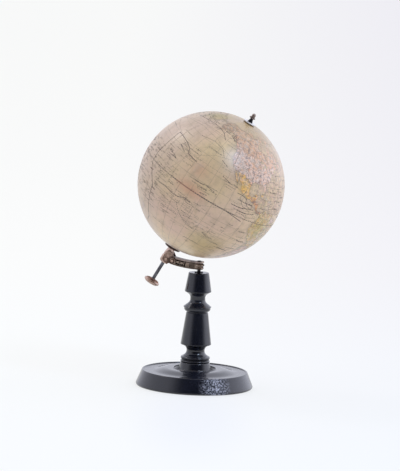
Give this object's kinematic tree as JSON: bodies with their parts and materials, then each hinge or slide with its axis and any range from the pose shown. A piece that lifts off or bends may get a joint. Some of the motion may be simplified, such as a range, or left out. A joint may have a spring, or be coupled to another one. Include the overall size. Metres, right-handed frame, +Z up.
{
  "type": "terrestrial table globe",
  "caption": "Paper-covered terrestrial globe on a steel axle, held by a cast brass arm that swivels on a turned black wooden stand, with a tilt joint and a turning knob.",
  "frame": {"origin": "centre of the base's flat underside, on the column's axis", "axes": "+Z up along the column. The arm runs from the column towards -X, and the ball's north end leans towards +X. +Y points away from the viewer of the front."},
  "size_m": [0.16, 0.16, 0.3032],
  "materials": {
    "ebonised_wood": "glossy black lacquer, worn",
    "dark_steel": "blackened, satin",
    "cast_brass": "cast and aged, dark in the recesses",
    "rosy_brass": "aged, dull",
    "pale_metal": "tinned, dull",
    "black_fitting": "black japanned",
    "shell_board": "pasted papier-mache",
    "map_paper": "printed and hand-coloured, satin varnish",
    "plain_wood": "plain turned softwood"
  },
  "bodies": {
    "stand": {"base": "ebonised_wood", "column": "ebonised_wood", "column_pin": "dark_steel", "pin_washer": "dark_steel"},
    "bracket": {"arm": "cast_brass", "yoke_cheeks": "rosy_brass", "yoke_rivet": "cast_brass", "trunnion_screws": "cast_brass", "lock_screw": "rosy_brass"},
    "hub": {"sleeve": "rosy_brass"},
    "globe": {"axle": "dark_steel", "knob": "rosy_brass", "knob_nut": "cast_brass", "south_plate": "black_fitting", "south_ferrule": "cast_brass", "north_ferrule": "cast_brass", "north_plate": "pale_metal", "flared_collar": "black_fitting", "cap_nut": "cast_brass", "shell_south": "shell_board", "shell_north": "shell_board", "inner_hoop": "shell_board", "spindle": "plain_wood", "pole_block_south": "plain_wood", "pole_block_north": "plain_wood", "paper_gores": "map_paper", "polar_calottes": "map_paper"}
  },
  "joints": [
    {"name": "arm_swivel", "type": "hinge", "parent": "stand", "child": "bracket", "pos_m": [0, 0, 0.1288], "axis": [0, 0, 1], "continuous": true},
    {"name": "hub_tilt", "type": "hinge", "parent": "bracket", "child": "hub", "pos_m": [-0.0333, 0, 0.14317], "axis": [0, 1, 0], "range_deg": [-10, 4]},
    {"name": "globe_spin", "type": "hinge", "parent": "hub", "child": "globe", "pos_m": [0.00943, 0, 0.2225], "axis": [0.4879, 0, 0.8729], "continuous": true}
  ]
}
